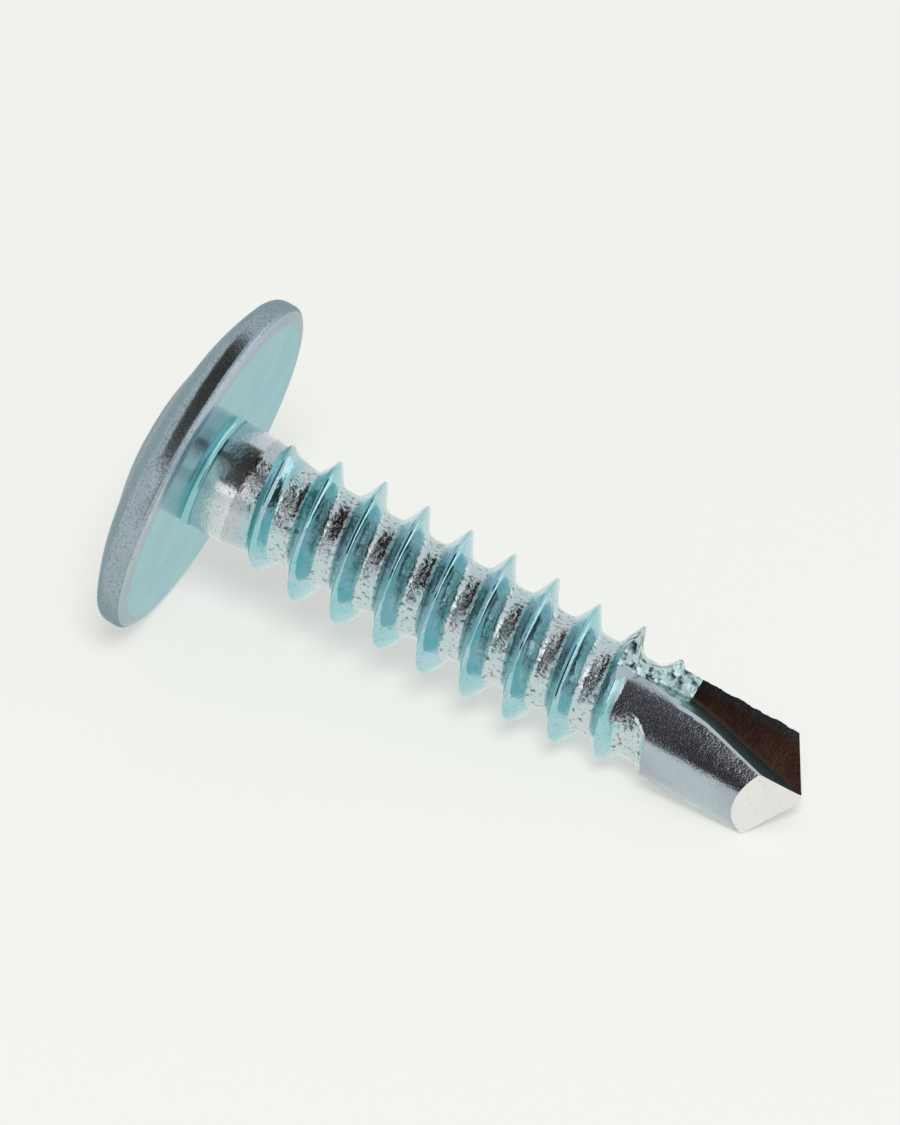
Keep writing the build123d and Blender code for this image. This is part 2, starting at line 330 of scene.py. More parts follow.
@dataclass
class Thread:
    """Rolled thread with the neck that it rises out of, as one helical skin."""

    major_radius: float = 2.1
    root_radius: float = 1.36
    pitch: float = 1.4
    flank: float = 26.0             # slope of a flank against the cross-section, degrees
    half_crest: float = 0.05
    crest_round: float = 0.02       # height of the rounding at the crest's edges
    root_fillet: float = 0.33
    root_reach: float = 0.11        # the root's rougher finish ends this far above it
    fillet_steps: int = 6
    phase: float = 0.567            # height at which a crest crosses the +X side
    neck_radius: float = 1.66
    neck_from: float = 0.22         # the skin starts past the fillet under the head
    neck_length: float = 1.2
    neck_run_out: float = 1.75      # length over which the neck sinks to the root
    rise_from: float = 0.9          # the crests rise from here ...
    rise_radius: float = 1.60       # ... and from this radius
    full_from: float = 3.8          # heights between which they have their full radius
    full_to: float = 10.6
    fade_middle: tuple[float, float] = (1.953, 12.4)    # (radius, height) of the crests as
    fade_end: tuple[float, float] = (1.64, 14.2)        # they fall to the drill body
    fade_bury: tuple[float, float] = (1.48, 14.75)
    skin_to: float = 15.0           # the skin ends here, on the drill body
    fine_from: float = 12.9         # from here the skin is twice as fine
    soften: float = 0.06            # reach of the blends where skins meet
    nick_size: float = 0.5          # length of the shallow nicks along the crests
    nick_depth: float = 0.03
    nick_band: float = 0.2          # the nicks reach this far down from the crests
    tooth_turn: float = -70.0       # the last crests are torn up round this angle
    tooth_reach: float = 48.0       # ... and this far to each side of it
    tooth_height: float = 0.16
    tear_from: float = 12.0         # height at which the tearing begins
    tear_full: float = 12.7         # ... and from which it is whole
    crumple_size: float = 0.3       # between the dents of the torn run-out
    crumple_height: float = 0.085
    land_gap: float = 0.03          # skin no farther than this from the land belongs to it
    steps: int = 160                # quads round the axis
    turns_before: int = 2           # turns spun above the first crest and cut off again
    turns: int = 13

    def profile(self) -> list[tuple[float, float]]:
        """Draws one pitch of the thread's section, from crest to crest.

        Returns:
            Its points, as (radius, height).
        """
        slope = tan(radians(self.flank))
        foot = self.half_crest + (self.major_radius - self.root_radius) * slope
        tangent = self.root_fillet * (1 - sin(radians(self.flank))) / cos(radians(self.flank))
        centre = (self.root_radius + self.root_fillet, foot + tangent)
        fillet = arc(centre, self.root_fillet, 180 + 90 - self.flank, 180, self.fillet_steps)
        half = [
            (self.major_radius, 0.0),
            (self.major_radius, self.half_crest / 2),
            (self.major_radius - self.crest_round, self.half_crest),
            *self._flank_points(fillet[0]),
            *fillet,
        ]
        back = [(radius, self.pitch - height) for radius, height in reversed(half)]
        return [*half, (self.root_radius, self.pitch / 2), *back]

    def _flank_points(self, foot: tuple[float, float]) -> list[tuple[float, float]]:
        """Divides the flank, between the crest's edge and the fillet.

        Args:
            foot: Where the fillet begins, as (radius, height).

        Returns:
            Two points along the flank.
        """
        top = (self.major_radius - self.crest_round, self.half_crest)
        return [
            (top[0] + share * (foot[0] - top[0]), top[1] + share * (foot[1] - top[1]))
            for share in (1 / 3, 2 / 3)
        ]

    def neck(self, height: float) -> float:
        """Returns the radius of the neck, which sinks to the root, at a height."""
        sink = (self.neck_radius - self.root_radius) / self.neck_run_out
        return max(self.root_radius, self.neck_radius - max(height - self.neck_length, 0) * sink)

    def crest_limit(self, height: float) -> float:
        """Works out how far the crests may reach.

        Args:
            height: Where the limit is wanted.

        Returns:
            The radius to which the crests are held there.
        """
        rise = (self.major_radius - self.rise_radius) / (self.full_from - self.rise_from)
        limit = self.rise_radius + (height - self.rise_from) * rise
        corners = [(self.major_radius, self.full_to), self.fade_middle, self.fade_end,
                   self.fade_bury]
        for (start, low), (end, high) in zip(corners, corners[1:]):
            if low < height <= high:
                limit = start + (end - start) * (height - low) / (high - low)
        if height > self.fade_bury[1]:
            limit = self.root_radius
        return limit

    def _torn(self, turn: float) -> float:
        """Returns how torn the run-out is at an angle, from 0 to 1."""
        away = abs((turn - self.tooth_turn + 180) % 360 - 180)
        return 1 - smooth_step(away, 0.5 * self.tooth_reach, self.tooth_reach)

    def skin_radius(self, place: Vector) -> float:
        """Returns where a point of the plain thread ends up once both run-outs are formed.

        Args:
            place: Point of the plain thread.

        Returns:
            Its new distance from the axis.
        """
        radius, height = radius_of(place), place.z
        share = self.crest_limit(height) - self.root_radius
        share = min(max(share / (self.major_radius - self.root_radius), 0.0), 1.0)
        rise = (radius - self.root_radius) * share
        if height < self.fade_middle[1]:
            nick = max(noise.noise(place / self.nick_size) - 0.1, 0.0) * self.nick_depth
            rise -= nick * smooth_step(radius, self.major_radius - self.nick_band,
                                       self.major_radius)
        torn = self._torn(turn_of(place)) * smooth_step(height, self.tear_from, self.tear_full)
        if torn > 0:
            # The crests are torn up as teeth, and crumpled more than the root between them.
            crest = smooth_step(radius, self.root_radius + 0.2, self.major_radius)
            rise += torn * crest * self.tooth_height
            rise += torn * (0.4 + 0.6 * crest) * self.crumple_height * rough(
                place, self.crumple_size, 0.7)
        return soft_max(self.root_radius + rise, self.neck(height), self.soften)

    def spin(self) -> bmesh.types.BMesh:
        """Spins the thread's section into a helix and cuts it to length.

        Returns:
            The skin of neck and thread, open at both ends.
        """
        bm = bmesh.new()
        start = self.phase - self.turns_before * self.pitch
        section = half_section(bm, [(r, start + height) for r, height in self.profile()])
        bmesh.ops.spin(bm, geom=section, cent=(0, 0, 0), axis=(0, 0, 1),
                       dvec=(0, 0, self.pitch / self.steps), angle=2 * pi, steps=self.steps)
        first_turn = [*bm.verts, *bm.edges, *bm.faces]
        for turn in range(1, self.turns):
            made = bmesh.ops.duplicate(bm, geom=first_turn)["geom"]
            verts = [item for item in made if isinstance(item, bmesh.types.BMVert)]
            bmesh.ops.translate(bm, vec=(0, 0, turn * self.pitch), verts=verts)
        bmesh.ops.remove_doubles(bm, verts=bm.verts, dist=self.pitch / 2000)
        for height, way in ((self.neck_from, -1), (self.skin_to, 1)):
            bmesh.ops.bisect_plane(
                bm, geom=[*bm.verts, *bm.edges, *bm.faces], dist=1e-5,
                plane_co=(0, 0, height), plane_no=(0, 0, way), clear_outer=True)
        # Spin's edges point either way from run to run, and so do the last digits of a cut.
        for vert in ring_verts(open_ring(bm)):
            vert.co = [round(part, CUT_DIGITS) for part in vert.co]
        settle_order(bm)
        fine = [edge for edge in bm.edges if min(v.co.z for v in edge.verts) > self.fine_from
                and max(v.co.z for v in edge.verts) < self.skin_to - 1e-3]
        bmesh.ops.subdivide_edges(bm, edges=fine, cuts=1, use_grid_fill=True)
        return bm

    def form(self, bm: bmesh.types.BMesh, land: Callable[[Vector], float]) -> None:
        """Moves the plain thread's skin in to its run-outs, and out to the drill's land.

        Args:
            bm: The skin, as it was spun.
            land: Gives the distance of the land's surface from the axis at a point.
        """
        for vert in bm.verts:
            wanted = self.skin_radius(vert.co)
            if vert.co.z > self.fade_middle[1]:
                wanted = max(wanted, land(vert.co))
            move_out(vert, wanted)
        for face in bm.faces:
            dress_face(face, self._finish(face.calc_center_median(), land))

    def _finish(self, middle: Vector, land: Callable[[Vector], float]) -> Finish:
        """Picks the finish of a place on the formed skin.

        Args:
            middle: Middle of the face there.
            land: Gives the distance of the land's surface from the axis at a point.

        Returns:
            The finish of that face.
        """
        if middle.z > self.fade_middle[1] and radius_of(middle) < land(middle) + self.land_gap:
            return Finish.PINCHED
        if middle.z > self.tear_full and self._torn(turn_of(middle)) > 0.5:
            return Finish.TORN
        if middle.z < self.neck_length:
            return Finish.NECK
        if radius_of(middle) < self.root_radius + self.root_reach:
            return Finish.ROOT
        return Finish.ROLLED


# ---- Head -----------------------------------------------------------------------------------

@dataclass
class Head:
    """Wafer head, grown from the neck's open ring to the top of its dome."""

    radius: float = 5.15
    height: float = 2.0
    neck_radius: float = 1.66
    neck_fillet: float = 0.18
    rim_height: float = 0.50        # the rounding over the rim starts this high
    rim_under_height: float = 0.25  # height of the rounding under it
    rim_under_reach: float = 0.48   # how far that rounding reaches in over the bearing face
    rim_top_radius: float = 0.40
    rim_top_turn: float = 65.0      # angle through which the upper rounding turns
    flange_camber: float = 0.08     # how far the flange bulges between rim and dome
    dome_radius: float = 3.1
    dome_rise: float = 0.55
    dome_blend: float = 0.0626      # reach of the blend where flange and dome meet
    recess_depth: float = 2.1
    recess_foot: float = 1.15       # radius of the wings at the recess's floor
    recess_slope: float = 26.5      # slope of their outer edges against the axis, degrees
    wing_width: float = 0.95
    wing_draft: float = 4.0
    core_width: float = 1.75        # across the core's flats between the wings
    core_draft: float = 0.9         # the core's draft as a share of the wings'
    floor_slope: float = 28.0
    past: float = 0.6               # the punch stands this far out of the dome
    fillet_steps: int = 8
    bearing_steps: int = 8
    rim_steps: tuple[int, int] = (12, 10)       # under the rim and over it
    crown_steps: int = 40
    recess_steps: int = 96          # facets round the recess's cone

    def profile(self) -> dict[Finish, list[tuple[float, float]]]:
        """Draws the head's outline, from the neck to just short of the axis.

        Returns:
            The points that each finish covers, as (radius, height), in order.
        """
        fillet = arc((self.neck_radius + self.neck_fillet, self.neck_fillet),
                     self.neck_fillet, 180, 270, self.fillet_steps)
        low = [(self.radius + self.rim_under_reach * (x - 1), self.rim_under_height * (z - 1))
               for x, z in arc((0, 0), 1, 90, 0, self.rim_steps[0])]
        top = arc((self.radius - self.rim_top_radius, -self.rim_height),
                  self.rim_top_radius, 0, -self.rim_top_turn, self.rim_steps[1])
        inner = fillet[-1][0]
        outer = low[0][0]
        bearing = [(inner + (outer - inner) * step / self.bearing_steps, 0.0)
                   for step in range(1, self.bearing_steps)]
        bright = len(low) * 2 // 3      # the flatter part of the rounding takes the pale EDGE finish, a painted highlight
        return {
            Finish.BEARING: [*fillet, *bearing, low[0]],
            Finish.EDGE: low[1:bright],
            Finish.FORGED: [*low[bright:], *top, *self._crown(top[-1])],
        }

    def _crown(self, start: tuple[float, float]) -> list[tuple[float, float]]:
        """Draws the flange and the dome.

        Args:
            start: Where the rim's rounding ends, as (radius, height).

        Returns:
            Points from there to just short of the axis.
        """
        foot_height = self.dome_rise - self.height
        ball = (self.dome_radius**2 + self.dome_rise**2) / (2 * self.dome_rise)
        points = []
        for step in range(1, self.crown_steps):
            radius = start[0] * (1 - step / self.crown_steps)
            share = (start[0] - radius) / (start[0] - self.dome_radius)
            height = start[1] + (foot_height - start[1]) * share
            height -= 4 * self.flange_camber * share * (1 - share)
            if share > 1:
                dome = ball - self.height - sqrt(ball**2 - radius**2)
                height = soft_min(height, dome, self.dome_blend)
            points.append((radius, height))
        return points

    def grow(self, bm: bmesh.types.BMesh, ring: list[bmesh.types.BMEdge]) -> None:
        """Extrudes the ring along the outline and closes it on the dome.

        Args:
            bm: Mesh of neck and thread.
            ring: Open ring at the neck.
        """
        radius, height = self.neck_radius, ring_height(ring)
        for finish, outline in self.profile().items():
            for wanted, level in outline:
                ring = grow_ring(bm, ring, finish)
                verts = ring_verts(ring)
                bmesh.ops.scale(bm, vec=(wanted / radius, wanted / radius, 1), verts=verts)
                bmesh.ops.translate(bm, vec=(0, 0, level - height), verts=verts)
                radius, height = wanted, level
        for face in bmesh.ops.contextual_create(bm, geom=ring)["faces"]:
            dress_face(face, Finish.FORGED)

    def punch(self) -> bpy.types.Object:
        """Shapes the punch of the cross recess, a cone cut to four wings.

        Returns:
            The punch, ready to be cut out of the head.
        """
        mouth = -self.height - self.past
        floor = self.recess_depth - self.height
        mouth_radius = self.recess_foot + (floor - mouth) * tan(radians(self.recess_slope))
        bm = bmesh.new()
        section = half_section(bm, [
            (0, mouth), (mouth_radius, mouth), (self.recess_foot, floor),
            (0, floor + self.recess_foot * tan(radians(self.floor_slope)))])
        bmesh.ops.spin(bm, geom=section, cent=(0, 0, 0), axis=(0, 0, 1),
                       angle=2 * pi, steps=self.recess_steps, use_merge=True)
        bmesh.ops.remove_doubles(bm, verts=bm.verts, dist=1e-5)
        bmesh.ops.recalc_face_normals(bm, faces=bm.faces)
        cone = new_object(bm, "recess_cone")
        combine(cone, self._wings(mouth, floor + 1.5), Cut.INSIDE)      # past the cone's tip
        return cone

    def _wings(self, mouth: float, foot: float) -> bpy.types.Object:
        """Shapes the cross-shaped prism with drafted sides that bounds the wings.

        Args:
            mouth: Height of its wide end.
            foot: Height of its narrow end.

        Returns:
            The prism.
        """
        draft = tan(radians(self.wing_draft))
        reach = 4 * self.radius
        width = self.wing_width / 2 + self.past * draft
        corner = (self.core_width / 2 + self.past * draft) * sqrt(2) - width
        quarter = [(reach, -width), (reach, width), (corner, width), (width, corner)]
        bm = bmesh.new()
        rings = []
        for height in (mouth, foot):
            shrink = (height - mouth) * draft
            places = []
            for turn in range(4):
                spin = Matrix.Rotation(turn * pi / 2, 3, "Z")
                for x, y in quarter:
                    inwards = Vector((0, -shrink if y > 0 else shrink, 0))
                    if (x, y) in quarter[2:]:
                        inwards = Vector((-shrink, -shrink, 0)) * self.core_draft
                    places.append(spin @ (Vector((x, y, height)) + inwards))
            rings.append(closed_loop(bm, places))
        bmesh.ops.bridge_loops(bm, edges=[*rings[0], *rings[1]])
        bmesh.ops.holes_fill(bm, edges=bm.edges, sides=0)
        bmesh.ops.recalc_face_normals(bm, faces=bm.faces)
        return new_object(bm, "recess_wings")


# ---- Drill point ----------------------------------------------------------------------------

@dataclass
class DrillPoint:
    """Drill body, grown from the thread's open ring, and the tools that shape its point."""

    radius: float = 1.61
    length: float = 19.05           # bearing plane to the chisel edge
    shoulder_height: float = 14.6
    shoulder_skew: float = 0.0932   # slope of the shoulder against the cross-section
    pad_from: float = -40.0         # the land reaches back to the last crest from here
    pad_start: tuple[float, float] = (13.12, 0.0075)    # its start at 0 degrees, and the
                                                        # rise of that start per degree
    pad_edge: tuple[tuple[float, float], ...] = (       # the torn end of the pad, as
        (13.2, 40.0), (13.5, 36.0), (13.76, 27.0),      # (height, angle)
        (14.01, 20.0), (14.3, 24.0), (14.58, 34.0), (14.7, 52.0), (14.9, 80.0))
    ragged: float = 0.05            # how far that edge strays
    ragged_size: tuple[float, float] = (0.2, 0.09)      # between its coarse and fine bends
    sunk: float = 0.4               # outside the land the surface lies this much deeper
    lip: float = 0.035              # height of the metal curled up along the pad's end
    lip_turns: tuple[float, float] = (20.0, 70.0)       # angles between which it is whole
    point_angle: float = 97.5       # between the two cutting lips
    facet_direction: float = 45.0   # way in which the end facets fall
    half_web: float = 0.12          # half the metal left between the flutes
    exit_height: float = 12.6       # the flute's tool comes out of the body here
    exit_clear: float = 0.09        # the tool starts this far outside the body
    full_height: float = 15.0       # the cutting face begins here
    bend_height: float = 15.8       # the far wall turns towards the axis here
    exit_edge: float = 0.48         # the far wall starts this far from the axis at the
    full_edge: float = 0.42         # land, and this far from it at the valley
    full_valley: float = 0.98
    bend_edge: float = 0.40
    bend_valley: float = 0.86
    tip_edge: float = -0.45
    tip_valley: float = 0.10
    bend_blend: float = 0.1         # reach of the soft bend between those slopes
    valley_radius: float = 0.16
    valley_steps: int = 6
    edge_chamfer: float = 0.07      # depth of the rounding where the wall meets the land
    edge_lean: float = 52.0
    run_out_steps: int = 18         # sections of the tool up to the cutting face
    face_steps: int = 10            # ... and along it
    crumple_size: float = 0.32      # between the dents where the flute runs out
    crumple_height: float = 0.12
    burr_turn: float = -86.0        # the cutting faces' outer edges, here and opposite
    burr_reach: float = 9.0
    burr_height: float = 0.035
    burr_size: float = 0.22         # between the burr's bumps
    body_rings: int = 56
    past: float = 0.6               # body and tools go this far past the tip

    def _depth(self, place: Vector) -> float:
        """Measures how deep inside the land a point lies.

        Args:
            place: Point on or near the body.

        Returns:
            Its distance from the land's outline, below 0 outside it.
        """
        turn, height = turn_of(place), place.z
        arc_length = self.radius * radians(1)
        plain = height - self.shoulder_height - self.shoulder_skew * place.y
        last = self.pad_edge[0][1]
        for (low, start), (high, end) in zip(self.pad_edge, self.pad_edge[1:]):
            if height >= low:
                share = min((height - low) / (high - low), 1.0)
                last = start + (end - start) * share
        pad = min((last - turn) * arc_length, (turn - self.pad_from) * arc_length,
                  height - self.pad_start[0] - self.pad_start[1] * turn)
        coarse, fine = self.ragged_size
        stray = noise.noise(place / coarse) + 0.6 * noise.noise(place / fine)
        # The shoulder was ground, so it strays much less than the pad's torn end.
        return max(plain + 0.15 * self.ragged * stray, pad + self.ragged * stray)

    def land(self, place: Vector) -> float:
        """Measures the land, which sinks under the thread's root outside its outline.

        Args:
            place: Point on or near the body.

        Returns:
            The distance of the land's surface from the axis there.
        """
        depth, turn = self._depth(place), turn_of(place)
        curl = smooth_step(depth, -0.02, 0.05) * (1 - smooth_step(depth, 0.05, 0.16))
        start, end = self.lip_turns
        curl *= smooth_step(turn, start - 20, start) * (1 - smooth_step(turn, end, end + 40))
        sunk = self.sunk * (1 - smooth_step(depth, -0.06, 0.02))
        return self.radius - sunk + self.lip * curl

    def _burr(self, place: Vector) -> float:
        """Measures the burr beside the cutting faces' outer edges.

        Args:
            place: Point on the body.

        Returns:
            How far the body stands proud there.
        """
        away = abs((turn_of(place) - self.burr_turn + 90) % 180 - 90)
        near = 1 - smooth_step(away, 0.3 * self.burr_reach, self.burr_reach)
        return near * self.burr_height * (0.4 + rough(place, self.burr_size, 0.6))

    def grow(self, bm: bmesh.types.BMesh, ring: list[bmesh.types.BMEdge]) -> None:
        """Extrudes the body past the tip, and closes it.

        Args:
            bm: Mesh of neck and thread.
            ring: Open ring at the thread's end.
        """
        rise = (self.length + self.past - ring_height(ring)) / self.body_rings
        for _ in range(self.body_rings):
            ring = grow_ring(bm, ring, Finish.PINCHED)
            for vert in ring_verts(ring):
                vert.co.z += rise
                move_out(vert, self.radius + self._burr(vert.co))
        bmesh.ops.contextual_create(bm, geom=ring)

    def _line(self, height: float, values: tuple[float, float, float, float]) -> float:
        """Returns a value of the flute's section at a height.

        Args:
            height: Where the section lies.
            values: The value at the exit, where the cutting face begins, at the bend and
                at the tip.  It changes evenly between them, with a soft bend.

        Returns:
            The value at that height.
        """
        out, full, bend, tip = values
        if height < self.full_height:
            share = (height - self.exit_height) / (self.full_height - self.exit_height)
            return out + share * (full - out)
        before = full + (bend - full) * (height - self.full_height) / (
            self.bend_height - self.full_height)
        after = bend + (tip - bend) * (height - self.bend_height) / (
            self.length - self.bend_height)
        return soft_min(before, after, self.bend_blend)

    def _section(self, height: float) -> list[Vector]:
        """Returns one section of the flute's tool.

        Args:
            height: Where the section lies.

        Returns:
            Corners, counted from the far end of the cutting face over the valley, the
            far wall and the rounding of the land's edge.
        """
        clear = self.radius + self.exit_clear
        face = self._line(height, (clear, self.half_web, self.half_web, self.half_web))
        valley = self._line(height, (self.exit_edge, self.full_valley, self.bend_valley,
                                     self.tip_valley))
        edge = self._line(height, (self.exit_edge, self.full_edge, self.bend_edge,
                                   self.tip_edge))
        far = 4 * self.radius
        slope = (valley - edge) / (self.radius - self.half_web)
        lean = atan(slope)
        # The rounding touches the face and the wall, whose inner angle is 90 + lean degrees.
        tangent = self.valley_radius / tan((pi / 2 + lean) / 2)
        centre = (face + self.valley_radius, -valley - tangent)
        rounding = arc(centre, self.valley_radius, 180, 90 + degrees(lean), self.valley_steps)
        rim = sqrt(self.radius**2 - edge**2) - self.edge_chamfer
        rim = max(rim, rounding[-1][0] + 0.02)
        top = -valley + slope * (rim - face)
        end = top + (far - rim) * tan(radians(self.edge_lean))
        points = [(face, -far), (face, -1.2 * self.radius), *rounding, (rim, top), (far, end),
                  (far, -far)]
        return [Vector((x, y, height)) for x, y in points]

    def flute(self, turn: float) -> bpy.types.Object:
        """Shapes the tool that cuts one flute.

        Args:
            turn: Where the flute lies round the axis, in degrees.

        Returns:
            The tool, from the flute's exit in the thread to past the tip.
        """
        run_out = self.full_height - self.exit_height
        length = self.length + self.past - self.full_height
        heights = [self.exit_height + run_out * step / self.run_out_steps
                   for step in range(self.run_out_steps)]
        heights += [self.full_height + length * step / self.face_steps
                    for step in range(self.face_steps + 1)]
        bm = bmesh.new()
        rings = [closed_loop(bm, self._section(height)) for height in heights]
        for low, high in zip(rings, rings[1:]):
            bmesh.ops.bridge_loops(bm, edges=[*low, *high])
        bmesh.ops.holes_fill(bm, edges=[*rings[0], *rings[-1]], sides=0)
        # Where the flute runs out, the ramp and the far wall get corners to crumple.
        torn = rings[:self.run_out_steps + 1]
        for place, cuts in ((1, 11), (2 + self.valley_steps, 3)):
            bmesh.ops.subdivide_edges(bm, edges=[ring[place] for ring in torn], cuts=cuts,
                                      use_grid_fill=True)
        bmesh.ops.recalc_face_normals(bm, faces=bm.faces)
        self._finish_flute(bm)
        self._crumple(bm)
        bmesh.ops.rotate(bm, verts=bm.verts, cent=(0, 0, 0),
                         matrix=Matrix.Rotation(radians(turn), 3, "Z"))
        return new_object(bm, "flute_tool")

    def _finish_flute(self, bm: bmesh.types.BMesh) -> None:
        """Gives each face of the flute's tool the finish that it leaves.

        Args:
            bm: The tool, not yet turned to its place.
        """
        for face in bm.faces:
            middle = face.calc_center_median()
            finish = Finish.WALL
            if middle.z < self.full_height:
                finish = Finish.TORN
            elif abs(face.normal.x) > 0.6:
                finish = Finish.SHEARED
            # Faces on the rounding of the land's edge take the pale EDGE finish, a painted
            # highlight.
            if abs(face.normal.x) > 0.5 and middle.x > self.radius:
                finish = Finish.EDGE
            face.material_index = finish.value

    def _crumple(self, bm: bmesh.types.BMesh) -> None:
        """Dents the tool where the flute runs out, as torn metal is.

        Args:
            bm: The tool, not yet turned to its place.
        """
        low, high = self.exit_height, self.full_height
        for vert in bm.verts:
            if low < vert.co.z < high and abs(vert.co.y) < 1.15 * self.radius:
                calm = smooth_step(vert.co.z, high - 0.35, high - 0.05)
                vert.co.x += (1 - calm) * self.crumple_height * rough(
                    vert.co, self.crumple_size, 0.7)

    def point_block(self) -> bpy.types.Object:
        """Shapes the roof-shaped block above the two end facets.

        Returns:
            The block, ready to be cut off the body.
        """
        reach = 4 * self.radius
        drop = reach / tan(radians(self.point_angle / 2))
        bm = bmesh.new()
        outline = [(0, self.length), (reach, self.length - drop), (reach, self.length + reach),
                   (-reach, self.length + reach), (-reach, self.length - drop)]
        face = bm.faces.new([bm.verts.new((x, -reach, z)) for x, z in outline])
        made = bmesh.ops.extrude_face_region(bm, geom=[face])["geom"]
        verts = [item for item in made if isinstance(item, bmesh.types.BMVert)]
        bmesh.ops.translate(bm, vec=(0, 2 * reach, 0), verts=verts)
        bmesh.ops.recalc_face_normals(bm, faces=bm.faces)
        for face in bm.faces:
            face.material_index = Finish.FACET.value
        bmesh.ops.rotate(bm, verts=bm.verts, cent=(0, 0, 0),
                         matrix=Matrix.Rotation(radians(self.facet_direction), 3, "Z"))
        return new_object(bm, "point_tool")


# ---- Finishes -------------------------------------------------------------------------------

def add_node(tree: bpy.types.NodeTree, kind: str, settings: dict | None = None,
             links: dict | None = None) -> bpy.types.Node:
    """Adds one node with its settings and links.

    Args:
        tree: Node tree that takes the node.
        kind: Blender's name for the node's type.
        settings: Values of its properties, or of its sockets by name or number.
        links: Output socket for each input socket, by name or number.

    Returns:
        The new node.
    """
    node = tree.nodes.new(kind)
    for key, value in (settings or {}).items():
        if isinstance(key, str) and hasattr(node, key):
            setattr(node, key, value)
        else:
            node.inputs[key].default_value = value
    for key, source in (links or {}).items():
        tree.links.new(source, node.inputs[key])
    return node


def new_material(name: str) -> bpy.types.Material:
    """Makes a material with an empty node tree.

    Args:
        name: Its name.

    Returns:
        The material.
    """
    made = bpy.data.materials.new(name)
    made.use_nodes = True
    made.node_tree.nodes.clear()
    return made


class Along(Enum):
    """What a band of another tint is measured along, in the screw's own axes."""

    RADIUS = "radius"
    HEIGHT = "height"


@dataclass(frozen=True)
class Band:
    """Another tint that comes in past one radius or height, with a ragged border."""

    along: Along
    start: float                    # mm at which it begins to come in
    end: float                      # ... and past which it is whole
    tint: str
    ragged: float = 0.0             # mm that its border strays


